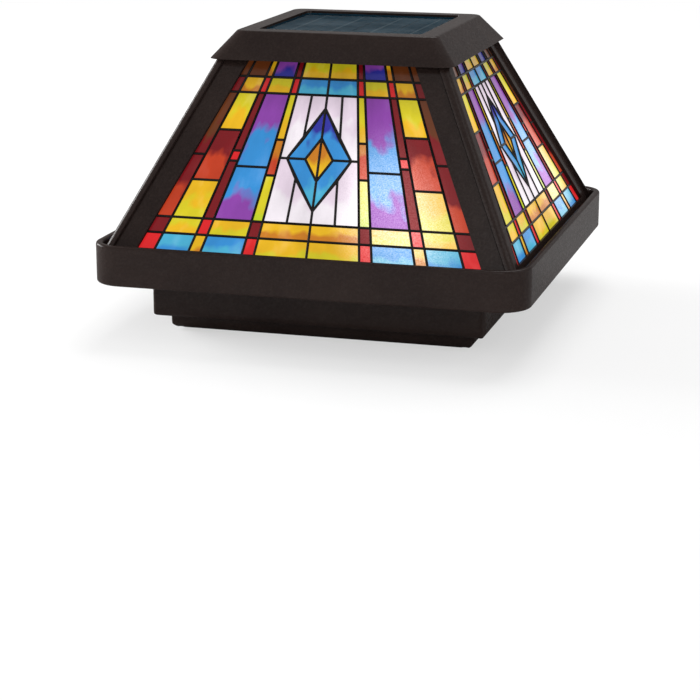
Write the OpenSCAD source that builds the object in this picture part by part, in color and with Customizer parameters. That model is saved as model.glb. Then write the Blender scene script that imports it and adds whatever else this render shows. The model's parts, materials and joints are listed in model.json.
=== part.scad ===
// Deck post cap light: a solar lantern that sleeves over the end of a square wooden post.
// Millimetres, +Z up. The origin is the centre of the collar's lowest edge; -Y is the front.

/* [Post] */
// Face width of the planed post that the collar sleeves over
post_w = 88.9; // [80:0.1:93]
// Free space between the post and the sleeve, on each side
post_gap = 0.4; // [0.2:0.1:1]
// Distance between the screw holes into the post's end, both ways
post_screw_spacing = 60; // [40:1:70]
// Diameter of the screw holes into the post's end
post_screw_hole = 5; // [4:0.1:6]

/* [Collar] */
// Width of the upper step
upper_w = 123; // [119:0.5:128]
// Height of the upper step that shows under the rim
upper_h = 14.5; // [10:0.5:25]
// Width of the lower step
lower_w = 113; // [108:0.5:117]
// Height of the lower step
lower_h = 5.5; // [5:0.5:12]
// Wall of both steps
collar_wall = 2.6; // [2:0.1:3.2]
// Wall of the inner sleeve that grips the post
sleeve_wall = 2.2; // [1.6:0.1:3]
// Web that closes the top of the collar
web_t = 2.2; // [1.6:0.1:3]
// Rounding under the upper step
upper_edge_r = 2.5; // [1:0.1:4]
// Rounding under the lower step
lower_edge_r = 4; // [2:0.1:4.5]
// Corner rounding of both steps, seen from above
collar_corner_r = 2.2; // [1:0.1:4]
// Thickness of the moulded ribs
rib_t = 1.8; // [1.2:0.1:2.6]
// Ribs on each side of the collar
collar_ribs = 5; // [3:1:7]

/* [Tray] */
// Outer width of the square rim
rim_w = 158; // [156:0.5:166]
// Height of the rim
rim_h = 14.5; // [12:0.5:20]
// Wall of the rim
rim_wall = 2.6; // [2:0.1:3]
// Corner rounding of the rim, seen from above
rim_corner_r = 11.5; // [8:0.5:13]
// Rounding of the rim's lip
lip_r = 0.9; // [0.5:0.1:1]
// Depth of the tray floor below the lip
floor_drop = 6; // [5:0.5:8]
// Thickness of the tray floor
floor_t = 3; // [2:0.1:4]
// Ribs under each side of the tray
tray_ribs = 4; // [2:1:8]
// Thickness of the pad under the tray that the post's end meets
pad_t = 1; // [0.6:0.1:2]
// Room around that pad in the sleeve
pad_gap = 1.5; // [1:0.1:4]
// Thickness of the white reflector plate
reflector_t = 1.2; // [0.8:0.1:2]

/* [Shade] */
// Width across the sloping faces at the height of the lip
shade_foot_w = 147; // [144:0.5:148]
// Width across the sloping faces under the cap
shade_top_w = 84.6; // [82:0.2:86]
// Height from the lip to the lower edge of the cap
shade_rise = 62.5; // [50:0.5:90]
// Rounding of the corner bars
hip_r = 3.2; // [2:0.1:3.3]
// Width of the corner bar that shows on each face
hip_face = 2.8; // [2.7:0.1:4]
// Seam between a corner bar and a panel frame
seam = 0.25; // [0.15:0.05:0.5]
// Rib behind each corner bar, between two frames
mitre_rib = 1.2; // [0.8:0.1:1.8]
// Width of the side strips of a panel frame
strip_w = 7.5; // [6.5:0.1:10]
// Depth of a panel frame's face behind the corner bars
panel_set_back = 1.2; // [0.6:0.1:2]
// Thickness of a panel frame in front of the glass
frame_lip_t = 1.5; // [1:0.1:2.5]
// Thickness of the stained panel
glass_t = 2; // [1.5:0.1:3]
// Thickness of the frosted sheet behind it
diffuser_t = 0.8; // [0.5:0.1:1.2]
// Overlap of the frame on the edges of the stained panel
rebate = 1.5; // [1:0.1:2]
// Play around the stained panel in its frame
panel_play = 0.15; // [0.1:0.05:0.3]
// Thickness of the cage that carries the frames
cage_t = 2.2; // [1.6:0.1:3]
// Diameter of the pegs that stake a frame to the cage
peg_d = 2; // [1.4:0.1:2.2]
// Clearance around each peg
peg_gap = 0.1; // [0.05:0.05:0.2]
// Gap around the foot of the shade in the tray
foot_gap = 0.5; // [0.3:0.1:1]

/* [Cap] */
// Width of the cap at its lower edge
cap_w = 89.6; // [88.5:0.1:94]
// Width of the cap at the top
cap_top_w = 75.4; // [74:0.2:82]
// Height of the cap
cap_h = 9.5; // [9:0.5:14]
// Corner rounding of the cap, seen from above
cap_corner_r = 5; // [3:0.5:8]
// Rounding around the top of the cap
cap_edge_r = 1.4; // [0.6:0.1:2]
// Wall of the cap's skirt
cap_wall = 1.8; // [1.2:0.1:2.2]
// Width of the square solar cell
solar_w = 60; // [50:0.5:64]
// Thickness of the solar cell
cell_t = 0.8; // [0.5:0.1:1.2]
// Thickness of the clear cover over the cell
cover_t = 1; // [0.8:0.1:1.5]
// Depth of the cover below the top of the cap
cover_sink = 0.8; // [0.3:0.1:1.2]
// Thickness of the roof under the cell
roof_t = 1.2; // [1:0.1:1.6]
// Play around the cell and its cover
cell_play = 0.2; // [0.1:0.05:0.4]
// Thickness of the foam gasket under the cap
gasket_t = 1; // [0.8:0.1:1.5]
// Air between the gasket and the cage, so that the cap lifts freely
seat_gap = 0.3; // [0.2:0.05:0.5]

/* [Electronics] */
// Outer width of the tub that plugs into the top of the cage
tub_w = 66; // [65:0.2:67]
// Wall and floor of the tub
tub_wall = 1.6; // [1.2:0.1:2]
// Clearance between the tub and the cage
plug_gap = 0.4; // [0.3:0.05:0.6]
// Diameter of the rechargeable cell
battery_d = 14.5; // [10:0.5:14.5]
// Length of the rechargeable cell with its button
battery_l = 50.5; // [44:0.5:50.5]
// Thickness of the battery door
door_t = 1.6; // [1.2:0.1:2]
// Radius of the door's hinge barrel
barrel_r = 2.2; // [2:0.1:2.6]
// Diameter of the hinge pin
pin_d = 2; // [1.6:0.1:2.4]
// Running clearance around the hinge pin
pin_gap = 0.08; // [0.05:0.01:0.1]
// Clearance around the moving door and slider
moving_gap = 0.3; // [0.25:0.05:0.4]
// Travel of the switch slider
switch_travel = 3; // [2:0.5:4]
// Radius of the frosted lens over the lamps
lens_r = 8; // [7:0.1:8.4]
// Wall of that lens
lens_wall = 1.2; // [0.8:0.1:1.6]
// Diameter of each light-emitting diode
led_d = 5; // [3:0.1:5]
// Thickness of the circuit board
board_t = 1.6; // [1:0.1:2]

/* [Screws] */
// Thread diameter of the case screws
screw_d = 3; // [2.5:0.1:3.5]
// Head diameter of the case screws
screw_head_d = 5.4; // [4.6:0.1:5.8]
// Head height of the case screws
screw_head_h = 1.8; // [1.2:0.1:2]
// Clearance of a screw in its through hole, on the radius
screw_gap = 0.2; // [0.1:0.05:0.4]

/* [Hidden] */
$fn = 48;

// Colours of the mouldings and of what they hold
bronze = "#3b302c";
bronze_light = "#4a3e3a";
white = "#f2f0ea";
steel = "#b9bcc0";
sides = ["front", "right", "back", "left"];

// Heights of the main levels
rim_z = lower_h + upper_h;
lip_z = rim_z + rim_h;
floor_z = lip_z - floor_drop;
seat_z = floor_z - floor_t;
cap_z = lip_z + shade_rise;
top_z = cap_z + cap_h;
roof_z = top_z - cover_sink - cover_t - cell_t - roof_t;

// The sleeve around the post
socket_w = post_w + 2 * post_gap;
sleeve_w = socket_w + 2 * sleeve_wall;
pad_w = socket_w - 2 * pad_gap;

// The leaning faces. A place on a face is (across, up the slope, outwards), from the lip's height.
lean = atan((shade_foot_w - shade_top_w) / 2 / shade_rise);
hip_slant = atan(sin(lean));
hip_lean = atan(sqrt(2) * tan(lean));
half_dihedral = 90 - acos(pow(sin(lean), 2)) / 2;
frame_t = frame_lip_t + glass_t + diffuser_t;
cage_depth = panel_set_back + frame_t;
shade_depth = cage_depth + cage_t;
frame_edge = hip_face + seam;
window_edge = frame_edge + strip_w;

// The cap and the tub that hangs in it
flange_t = 1.5;
flange_z = roof_z - flange_t;
gasket_z = flange_z - gasket_t;
cage_top_z = gasket_z - seat_gap;
cap_slope = (cap_w - cap_top_w) / 2 / cap_h;
battery_room = 2.2;
tub_z = roof_z - battery_d - battery_room;
tub_floor_z = tub_z + tub_wall;
flange_gap = 0.4;
flange_w = 2 * (cap_w / 2 - (roof_z - cap_z) * cap_slope - cap_wall - flange_gap);
tub_inner_w = tub_w - 2 * tub_wall;
tub_corner_r = 4;
nose_rise = 0.4;
// The ring that closes the top of the cage: at least its wall, and it always reaches the frames
ring_wall = 1.2;
ring_land = 0.12;
ring_w = 2 * max(tub_w / 2 + plug_gap + ring_wall,
    face_half(cage_top_z) - cage_depth / cos(lean) - ring_land);
cell_corner_r = 1.5;

// The foot of the shade in the tray
foot_w = rim_w - 2 * rim_wall - 2 * foot_gap;
foot_reach = foot_w / sqrt(2) - (sqrt(2) - 1) * (rim_corner_r - rim_wall);
foot_ring_h = 1.4;
foot_ring_in = 1.5;
foot_ring_flat = 7.35;
foot_ring_out_w = 2 * (face_half(floor_z) - cage_depth / cos(lean) - foot_ring_in);
foot_ring_w = foot_ring_out_w - 2 * foot_ring_flat;
cage_boss_d = 7;
cage_boss_h = 4.5;
cage_screw_at = foot_ring_w / 2 + cage_boss_d / 2 + 0.5;
tray_boss_d = 8;
tray_boss_h = 4.2;
collar_screw_at = (sleeve_w / 2 + upper_w / 2 - collar_wall) / 2;
reflector_w = foot_ring_w - 1;
screw_bite = 3.5;

// The window of each face, the edges of the frame around it and the pegs that stake it
window_low = slope_at(lip_z - 1.6, panel_set_back);
window_high = slope_at(cap_z + 0.2, panel_set_back);
frame_low = slope_at(floor_z + 0.2, cage_depth);
frame_high = slope_at(cage_top_z - 0.3, panel_set_back);
peg_edge = window_edge - rebate - peg_d / 2 - 0.4;
peg_places = [0.12, 0.5, 0.88];
peg_head_t = 0.7;

// The battery bay, at the back of the tub, in front of the pillars for the case screws
pillar_d = screw_head_d + 1.6;
pillar_h = 7;
post_at = tub_inner_w / 2 - pillar_d / 2 - 0.9;
contact_t = 0.5;
spring_l = 5.5;
bay_l = battery_l + 2 * contact_t + spring_l;
bay_wall = 1.4;
bay_side = battery_d / 2 + 0.35;
battery_y = tub_inner_w / 2 - pillar_d - 0.8 - bay_wall - bay_side;
battery_z = tub_floor_z - 1 + battery_d / 2;
button_d = 5.5;
button_l = 1.3;
saddle_t = 1.6;
saddle_at = battery_l / 2 - 9;

// The battery door, its hinge along the back and its catch along the front
door_l = bay_l + 1.6;
door_top_z = tub_z - moving_gap;
hinge_y = battery_y + bay_side + bay_wall + 1.2 + barrel_r;
hinge_z = tub_z - moving_gap - barrel_r;
barrel_l = 30;
lug_l = 4;
catch_y = battery_y - bay_side - bay_wall - 2.4;
catch_l = 9;
catch_t = 1.2;
catch_rise = 0.9;

// The board and what it carries, at the front of the tub
board_w = 2 * (post_at - pillar_d / 2 - 2);
board_l = battery_y - bay_side - bay_wall - 3.5 + tub_inner_w / 2 - 2.5;
board_y = 2.5 - tub_inner_w / 2 + board_l / 2;
board_z = tub_floor_z + 3.4;
board_boss_d = 5;
board_screw_d = 2;
board_screw_head = 3.8;
board_screw_bite = 2.6;
board_screw_x = board_w / 2 - 4;
board_screw_y = board_y - board_l / 2 + 4;
led_at = led_d / 2 + 0.9;
lens_flange = 1.5;
lens_y = board_y + 0.4;
stem_w = 2.4;
switch_l = stem_w + 2 + switch_travel + 3.6;
switch_w = 6.4;
switch_x = lens_r + lens_flange + 1 + switch_l / 2;
switch_y = lens_y + 5;
lead_d = 1.2;
lead_at = 3;
lead_y = board_y - board_l / 2 + 7;

// Half of the width across the faces at a height, and the slope place of a height at a depth
function face_half(z) = shade_foot_w / 2 - (z - lip_z) * tan(lean);
function slope_at(z, depth) = (z - lip_z + depth * sin(lean)) / cos(lean);
function side_at(up, edge) = shade_foot_w / 2 - up * sin(lean) - edge / cos(hip_slant);
function cap_half(z) = cap_w / 2 - (z - cap_z) * cap_slope;
// A point of the corner bar's section: a distance along a face from its edge, and a depth under it
function bar_point(along, depth, hand) = [hand * (along * sin(half_dihedral) - depth * cos(half_dihedral)),
    along * cos(half_dihedral) + depth * sin(half_dihedral)];

// ---- shapes used by several parts

module rounded_square(w, r) {
    square([w, w - 2 * r], center = true);
    square([w - 2 * r, w], center = true);
    for (x = [-1, 1], y = [-1, 1]) translate([x * (w / 2 - r), y * (w / 2 - r)]) circle(r);
}

module column(w, r, low, high) translate([0, 0, low]) linear_extrude(high - low) rounded_square(w, r);

// A square column with its four corners cut off flat at a distance from the centre
module cut_column(w, reach, low, high) translate([0, 0, low]) linear_extrude(high - low) intersection() {
    square(w, center = true);
    rotate(45) square(2 * reach, center = true);
}

module square_ring(w_out, w_in, low, high) translate([0, 0, low]) linear_extrude(high - low) difference() {
    square(w_out, center = true);
    square(w_in, center = true);
}

// A block with a width, rounded under its four sides
module step_profile(w, h, r) {
    translate([-w / 2, r]) square([w, h - r]);
    translate([-w / 2 + r, 0]) square([w - 2 * r, r + 0.01]);
    for (x = [-1, 1]) translate([x * (w / 2 - r), r]) circle(r);
}

module step_block(w, h, edge_r, corner_r) intersection() {
    rotate([90, 0, 0]) linear_extrude(w + 1, center = true) step_profile(w, h, edge_r);
    rotate([90, 0, 90]) linear_extrude(w + 1, center = true) step_profile(w, h, edge_r);
    column(w, corner_r, 0, h);
}

// Sweeps a section around a rounded square; the section's x runs outwards from the outer line
module square_sweep(w, r) for (turn = [0:3]) rotate(90 * turn) {
    translate([w / 2, w / 2 - r, 0]) rotate([90, 0, 0]) linear_extrude(w - 2 * r) children();
    translate([w / 2 - r, w / 2 - r, 0]) rotate_extrude(angle = 90) translate([r, 0]) children();
}

module at_corners(at) for (x = [-1, 1], y = [-1, 1]) translate([x * at, y * at, 0]) children();

module around() for (turn = [0:3]) rotate(90 * turn) children();

module on_face(side) rotate(90 * side) translate([0, -shade_foot_w / 2, lip_z]) rotate([90 - lean, 0, 0])
    children();

// A plate on a face: it narrows up the slope with the shade, "edge" away from the corner lines
module face_outline(low, high, edge) polygon([[-side_at(low, edge), low], [side_at(low, edge), low],
    [side_at(high, edge), high], [-side_at(high, edge), high]]);

module face_plate(low, high, edge, depth, t) translate([0, 0, -depth - t]) linear_extrude(t)
    face_outline(low, high, edge);

module at_pegs() for (hand = [-1, 1], share = peg_places)
    let(up = frame_low + share * (frame_high - frame_low))
    translate([hand * side_at(up, peg_edge), up, 0]) children();

// A screw that points up, its head's underside at the origin
module screw_up(l, d = screw_d, head_d = screw_head_d, head_h = screw_head_h) {
    cylinder(h = l, d = d);
    translate([0, 0, -head_h]) cylinder(h = head_h, d1 = head_d * 0.8, d2 = head_d);
}

// ---- the collar and the tray

module collar_pocket(outer_w, low, high) square_ring(outer_w - 2 * collar_wall, sleeve_w, low, high);

module collar_rib_set() around() for (i = [0:collar_ribs - 1])
    translate([sleeve_w / 2 - 0.5, (i - (collar_ribs - 1) / 2) * sleeve_w / collar_ribs - rib_t / 2, 1]) {
        cube([(lower_w - sleeve_w) / 2 - 1.5, rib_t, seat_z - 1 - web_t]);
        translate([0, 0, lower_h])
            cube([(upper_w - sleeve_w) / 2 - 0.5, rib_t, seat_z - 1 - web_t - lower_h]);
    }

module post_collar() color(bronze) difference() {
    union() {
        difference() {
            union() {
                step_block(lower_w, lower_h + collar_wall, lower_edge_r, collar_corner_r);
                translate([0, 0, lower_h])
                    step_block(upper_w, seat_z - lower_h, upper_edge_r, collar_corner_r);
            }
            collar_pocket(lower_w, -1, lower_h + collar_wall + 0.01);
            collar_pocket(upper_w, lower_h + collar_wall, seat_z - web_t);
        }
        collar_rib_set();
    }
    translate([0, 0, -1]) linear_extrude(seat_z + 2) square(socket_w, center = true);
    at_corners(collar_screw_at) cylinder(h = seat_z + 1, d = screw_d + 2 * screw_gap);
    // a wide collar is relieved around the heads of the cage screws
    around() translate([cage_screw_at, 0, seat_z - web_t - 1])
        cylinder(h = web_t + 2, d = screw_head_d + 2 * screw_gap);
}

module rim_section() {
    translate([-rim_wall, lip_r]) square([rim_wall, rim_h - 2 * lip_r]);
    translate([-rim_wall + lip_r, rim_h - lip_r - 0.01]) square([rim_wall - 2 * lip_r, lip_r + 0.01]);
    translate([-rim_wall, 0]) square([rim_wall - lip_r, lip_r + 0.01]);
    for (x = [-lip_r, lip_r - rim_wall]) translate([x, rim_h - lip_r]) circle(lip_r);
    translate([-lip_r, lip_r]) circle(lip_r);
}

module tray_rib_set() around() for (i = [0:tray_ribs - 1])
    translate([upper_w / 2 + 0.6, (i - (tray_ribs - 1) / 2) * upper_w / tray_ribs - rib_t / 2, rim_z + 1])
        cube([(rim_w - upper_w) / 2 - rim_wall, rib_t, seat_z - rim_z - 0.5]);

module base_tray() color(bronze) difference() {
    union() {
        translate([0, 0, rim_z]) square_sweep(rim_w, rim_corner_r) rim_section();
        column(rim_w - rim_wall, rim_corner_r - rim_wall / 2, seat_z, floor_z);
        translate([0, 0, seat_z - pad_t]) linear_extrude(pad_t + 0.5) square(pad_w, center = true);
        tray_rib_set();
        at_corners(collar_screw_at) translate([0, 0, floor_z - 0.5])
            cylinder(h = tray_boss_h + 0.5, d = tray_boss_d);
    }
    at_corners(post_screw_spacing / 2) translate([0, 0, seat_z - pad_t - 1])
        cylinder(h = floor_t + pad_t + 2, d = post_screw_hole);
    at_corners(collar_screw_at) translate([0, 0, seat_z - 1])
        cylinder(h = floor_t + tray_boss_h, d = screw_d);
    around() translate([cage_screw_at, 0, seat_z - 1]) cylinder(h = floor_t + 2, d = screw_d + 2 * screw_gap);
}

module collar_screws() color(steel) at_corners(collar_screw_at) translate([0, 0, seat_z - web_t])
    screw_up(web_t + floor_t + tray_boss_h - 1.5);

module floor_reflector() color(white) difference() {
    column(reflector_w, 3, floor_z, floor_z + reflector_t);
    at_corners(collar_screw_at) translate([0, 0, floor_z - 1])
        cylinder(h = reflector_t + 2, d = tray_boss_d + 0.6);
    at_corners(post_screw_spacing / 2) translate([0, 0, floor_z - 1])
        cylinder(h = reflector_t + 2, d = 2 * post_screw_hole + 2);
}

// ---- the shade

// Extrudes a section along the front right corner; its y runs inwards from the corner line
module along_corner() translate([shade_foot_w / 2, -shade_foot_w / 2, lip_z]) rotate([0, 0, 45])
    rotate([-hip_lean, 0, 0]) translate([0, 0, -3 * floor_drop])
    linear_extrude(3 * floor_drop + 1.5 * (shade_rise + cap_h)) children();

// The rounded nose of a corner bar
module nose_section() {
    tangent = hip_r / tan(half_dihedral);
    nose_depth = (hip_face * sin(half_dihedral) - mitre_rib / 2) / cos(half_dihedral);
    polygon([bar_point(tangent, 0, 1), bar_point(hip_face, 0, 1), bar_point(hip_face, nose_depth, 1),
        bar_point(hip_face, nose_depth, -1), bar_point(hip_face, 0, -1), bar_point(tangent, 0, -1)]);
    intersection() {
        translate([0, hip_r / sin(half_dihedral)]) circle(hip_r);
        translate([-hip_r, 0]) square([2 * hip_r, tangent * cos(half_dihedral)]);
    }
}

// The rib behind the nose, which the frames' mitres leave room for
module rib_section() translate([-mitre_rib / 2, hip_r])
    square([mitre_rib, (cage_depth + cage_t) / sin(half_dihedral) - hip_r]);

// What lies beyond a panel frame's mitre, at its right edge
module mitre_cut() along_corner() translate([-mitre_rib / 2 - seam, -strip_w]) square(rim_w);

module cage_face() difference() {
    face_plate(frame_low - 3, frame_high + 3, cage_depth / tan(half_dihedral), cage_depth, cage_t);
    translate([0, 0, -1]) face_plate(window_low, window_high, window_edge, cage_depth - 1, cage_t + 2);
    at_pegs() translate([0, 0, -shade_depth - 1]) cylinder(h = cage_t + 2, r = peg_d / 2 + peg_gap);
}

module corner_cage() color(bronze_light) difference() {
    union() {
        intersection() {
            union() {
                for (side = [0:3]) on_face(side) cage_face();
                around() along_corner() rib_section();
                square_ring(ring_w, tub_w + 2 * plug_gap - 2, cap_z - 1, cage_top_z);
            }
            cut_column(foot_w, foot_reach, floor_z, cage_top_z);
        }
        intersection() {
            around() along_corner() nose_section();
            cut_column(foot_w, foot_reach, floor_z, cap_z + nose_rise);
        }
        square_ring(foot_ring_out_w, foot_ring_w, floor_z, floor_z + foot_ring_h);
        difference() {
            around() translate([cage_screw_at, 0, floor_z]) cylinder(h = cage_boss_h, d = cage_boss_d);
            for (side = [0:3]) on_face(side) face_plate(frame_low - 3, window_low + 10, 20, 0, cage_depth);
        }
    }
    translate([0, 0, cap_z - 6]) linear_extrude(20) square(tub_w + 2 * plug_gap, center = true);
    around() translate([cage_screw_at, 0, floor_z - 1]) cylinder(h = screw_bite + 1.2, d = screw_d);
}

module cage_screws() color(steel) around() translate([cage_screw_at, 0, seat_z])
    screw_up(floor_t + screw_bite);

module panel_frame(side) color(bronze) rotate(90 * side) difference() {
    on_face(0) {
        difference() {
            face_plate(frame_low, frame_high, frame_edge, panel_set_back, frame_t);
            translate([0, 0, 1])
                face_plate(window_low, window_high, window_edge, panel_set_back, frame_t + 2);
            face_plate(window_low - rebate, window_high + rebate, window_edge - rebate,
                panel_set_back + frame_lip_t, frame_t);
        }
        at_pegs() {
            translate([0, 0, -shade_depth]) cylinder(h = cage_t + 0.5, d = peg_d);
            translate([0, 0, -shade_depth - peg_head_t])
                cylinder(h = peg_head_t, d1 = peg_d + 0.8, d2 = peg_d + 1.6);
        }
    }
    mitre_cut();
    mirror([1, 0, 0]) mitre_cut();
}

module behind_window(side, depth, t) on_face(side)
    face_plate(window_low - rebate + panel_play, window_high + rebate - panel_play,
        window_edge - rebate + panel_play, panel_set_back + depth, t);

module stained_panel(side) color("#c8a23c", 0.8) behind_window(side, frame_lip_t, glass_t);

module diffuser(side) color("#f4f2ec", 0.8) behind_window(side, frame_lip_t + glass_t, diffuser_t);

// ---- the cap

// The cap's outside, or its hollow when shrunk by the wall; rounded around its top
module cap_solid(shrink, low, high, edge_r) hull() {
    corner_r = cap_corner_r - shrink;
    at_corners(cap_half(low) - cap_corner_r) translate([0, 0, low]) cylinder(h = 0.1, r = corner_r, $fn = 32);
    at_corners(cap_half(high) - cap_corner_r) translate([0, 0, high - edge_r]) rotate_extrude($fn = 32)
        translate([corner_r - edge_r, 0]) intersection() {
            circle(edge_r, $fn = 24);
            square(edge_r);
        }
}

module roof_posts() at_corners(post_at) translate([0, 0, tub_floor_z + pillar_h])
    cylinder(h = roof_z + 0.5 - tub_floor_z - pillar_h, d = pillar_d - 0.6);

module cap_housing() color(bronze) difference() {
    union() {
        difference() {
            cap_solid(0, cap_z, top_z, cap_edge_r);
            cap_solid(cap_wall, cap_z - 1, roof_z, 0.4);
        }
        roof_posts();
    }
    column(solar_w + 2 * cell_play, cell_corner_r + cell_play, roof_z + roof_t, top_z + 1);
    for (x = [-1, 1]) translate([x * lead_at, lead_y, roof_z - 1]) cylinder(h = roof_t + 2, d = lead_d + 1);
    at_corners(post_at) translate([0, 0, tub_z]) cylinder(h = roof_z - tub_z - 2, d = screw_d);
}

module solar_cell() color("#17343a")
    column(solar_w, cell_corner_r, roof_z + roof_t, roof_z + roof_t + cell_t);

module solar_cover() color("#2c5a60", 0.5)
    column(solar_w, cell_corner_r, roof_z + roof_t + cell_t, top_z - cover_sink);

module solar_leads() for (x = [-1, 1]) color(x < 0 ? "#b02020" : "#202020")
    translate([x * lead_at, lead_y, board_z + board_t])
        cylinder(h = roof_z + roof_t - board_z - board_t, d = lead_d);

module cap_gasket() color("#2b2b2b")
    square_ring(ring_w, tub_w, gasket_z, flange_z);

module cap_screws() color(steel) at_corners(post_at) translate([0, 0, tub_z + screw_head_h + 0.3])
    screw_up(pillar_h + tub_wall + 2.5);

// ---- the tub with the battery bay

module along_x(x0, x1, d, y, z) translate([x0, y, z]) rotate([0, 90, 0]) cylinder(h = x1 - x0, d = d);

module bay_box(grow, low, high) translate([-bay_l / 2 - grow, battery_y - bay_side - grow, low])
    cube([bay_l + 2 * grow, 2 * (bay_side + grow), high - low]);

module saddles() intersection() {
    bay_box(0.5, battery_z + 2, flange_z);
    for (x = [-1, 1]) translate([x * saddle_at - saddle_t / 2, 0, tub_z]) cube([saddle_t, tub_w / 2, tub_w]);
}

module hinge_lugs() for (x = [-1, 1]) let(middle = x * (barrel_l / 2 + moving_gap + lug_l / 2)) {
    along_x(middle - lug_l / 2, middle + lug_l / 2, 2 * barrel_r, hinge_y, hinge_z);
    translate([middle, hinge_y, (hinge_z + tub_z + 0.5) / 2])
        cube([lug_l, 2 * barrel_r, tub_z + 0.5 - hinge_z], center = true);
}

module cap_tub() color(white) difference() {
    union() {
        difference() {
            union() {
                difference() {
                    column(tub_w, tub_corner_r, tub_z, flange_z + 0.5);
                    column(tub_inner_w, tub_corner_r - tub_wall, tub_floor_z, flange_z + 1);
                }
                bay_box(bay_wall, tub_floor_z - 0.5, flange_z);
            }
            bay_box(0, tub_floor_z - 1, flange_z);
        }
        difference() {
            column(flange_w, cap_corner_r, flange_z, roof_z);
            column(tub_inner_w, tub_corner_r - tub_wall, flange_z - 1, roof_z + 1);
        }
        saddles();
        at_corners(post_at) translate([0, 0, tub_floor_z - 0.5]) cylinder(h = pillar_h + 0.5, d = pillar_d);
        for (x = [-1, 1]) translate([x * board_screw_x, board_screw_y, tub_floor_z - 0.5])
            cylinder(h = board_z - tub_floor_z + 0.5, d = board_boss_d);
        hinge_lugs();
    }
    bay_box(0, tub_z - 1, tub_floor_z + 0.5);
    along_x(-battery_l / 2 - 1, battery_l / 2 + 1, battery_d + 0.1, battery_y, battery_z);
    at_corners(post_at) translate([0, 0, tub_z - 1]) {
        cylinder(h = pillar_h + tub_wall + 2, d = screw_d + 2 * screw_gap);
        cylinder(h = 1 + screw_head_h + 0.3, d = screw_head_d + 2 * screw_gap);
    }
    for (x = [-1, 1]) translate([x * board_screw_x, board_screw_y, tub_floor_z])
        cylinder(h = board_z - tub_floor_z + 1, d = board_screw_d);
    translate([0, lens_y, tub_z - 1]) cylinder(h = tub_wall + 2, r = lens_r + 0.15);
    translate([switch_x, switch_y, tub_z]) cube([stem_w + switch_travel + 2 * moving_gap,
        stem_w + 2 * moving_gap, 2 * tub_wall + 2], center = true);
    translate([-catch_l / 2 - moving_gap, catch_y - catch_t - 1, tub_z - 1])
        cube([catch_l + 2 * moving_gap, catch_t + 1 + moving_gap, tub_wall + 2]);
    along_x(-barrel_l, barrel_l, pin_d, hinge_y, hinge_z);
}

module battery() color("#3d7f4a") let(flat_end = -bay_l / 2 + contact_t + spring_l) {
    along_x(flat_end, flat_end + battery_l - button_l, battery_d, battery_y, battery_z);
    along_x(flat_end + battery_l - button_l - 0.1, flat_end + battery_l, button_d, battery_y, battery_z);
}

// The spring's wire: one tube wound along the bay, wide at the plate and narrow at the cell
spring_turns = 4;
wire_d = 0.9;
spring_rings = 12 * spring_turns;
function spring_radius(t) = 4.2 - 1.2 * t;
function spring_axis(t) = wire_d / 4 + t * (spring_l - 0.75 * wire_d);
function wire_point(t, a) = let(turn = 360 * spring_turns * t, r = spring_radius(t) + wire_d / 2 * cos(a))
    [spring_axis(t) + wire_d / 2 * sin(a), r * cos(turn), r * sin(turn)];

module spring_wire() {
    wire_sides = 6;
    points = [for (i = [0:spring_rings], k = [0:wire_sides - 1])
        wire_point(i / spring_rings, 360 * k / wire_sides + 30)];
    walls = [for (i = [0:spring_rings - 1], k = [0:wire_sides - 1])
        let(a = i * wire_sides + k, b = i * wire_sides + (k + 1) % wire_sides)
        each [[a, b, a + wire_sides], [b, b + wire_sides, a + wire_sides]]];
    start = [for (k = [1:wire_sides - 2]) [0, k + 1, k]];
    last = spring_rings * wire_sides;
    end = [for (k = [1:wire_sides - 2]) [last, last + k, last + k + 1]];
    polyhedron(points, concat(walls, start, end));
}

module spring_contact() color(steel) translate([-bay_l / 2, battery_y, battery_z]) {
    translate([0, -5.5, -5.5]) cube([contact_t, 11, 11]);
    translate([contact_t, 0, 0]) spring_wire();
}

module plate_contact() color(steel) translate([bay_l / 2 - contact_t, battery_y - 5, battery_z - 5])
    cube([contact_t, 10, 10]);

module battery_door() color(white) difference() {
    union() {
        translate([-door_l / 2, catch_y - catch_t, door_top_z - door_t])
            cube([door_l, hinge_y - barrel_r - 0.4 - catch_y + catch_t, door_t]);
        translate([-barrel_l / 2, hinge_y - barrel_r - 0.5, door_top_z - door_t])
            cube([barrel_l, barrel_r + 0.5, door_t]);
        along_x(-barrel_l / 2, barrel_l / 2, 2 * barrel_r, hinge_y, hinge_z);
        translate([-catch_l / 2, catch_y - catch_t, door_top_z - 0.2])
            cube([catch_l, catch_t, moving_gap + tub_wall + catch_rise + 0.2]);
    }
    along_x(-barrel_l, barrel_l, pin_d + 2 * pin_gap, hinge_y, hinge_z);
}

module door_pin() color(steel)
    along_x(-barrel_l / 2 - moving_gap - lug_l, barrel_l / 2 + moving_gap + lug_l, pin_d, hinge_y, hinge_z);

// ---- the board, the lamps and the switch

module circuit_board() color("#1f5b38") difference() {
    translate([-board_w / 2, board_y - board_l / 2, board_z]) cube([board_w, board_l, board_t]);
    for (x = [-1, 1]) translate([x * board_screw_x, board_screw_y, board_z - 1])
        cylinder(h = board_t + 2, d = board_screw_d + 2 * screw_gap);
}

module board_screws() color(steel) for (x = [-1, 1])
    translate([x * board_screw_x, board_screw_y, board_z + board_t]) rotate([180, 0, 0])
        screw_up(board_t + board_screw_bite, board_screw_d, board_screw_head, 1.2);

module led_pair() color("#fff3c4") for (x = [-1, 1]) translate([x * led_at, lens_y, board_z])
    rotate([180, 0, 0]) {
        cylinder(h = 1, d = led_d + 0.8);
        cylinder(h = 0.9 * led_d, d = led_d);
        translate([0, 0, 0.9 * led_d]) sphere(d = led_d);
    }

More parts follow.
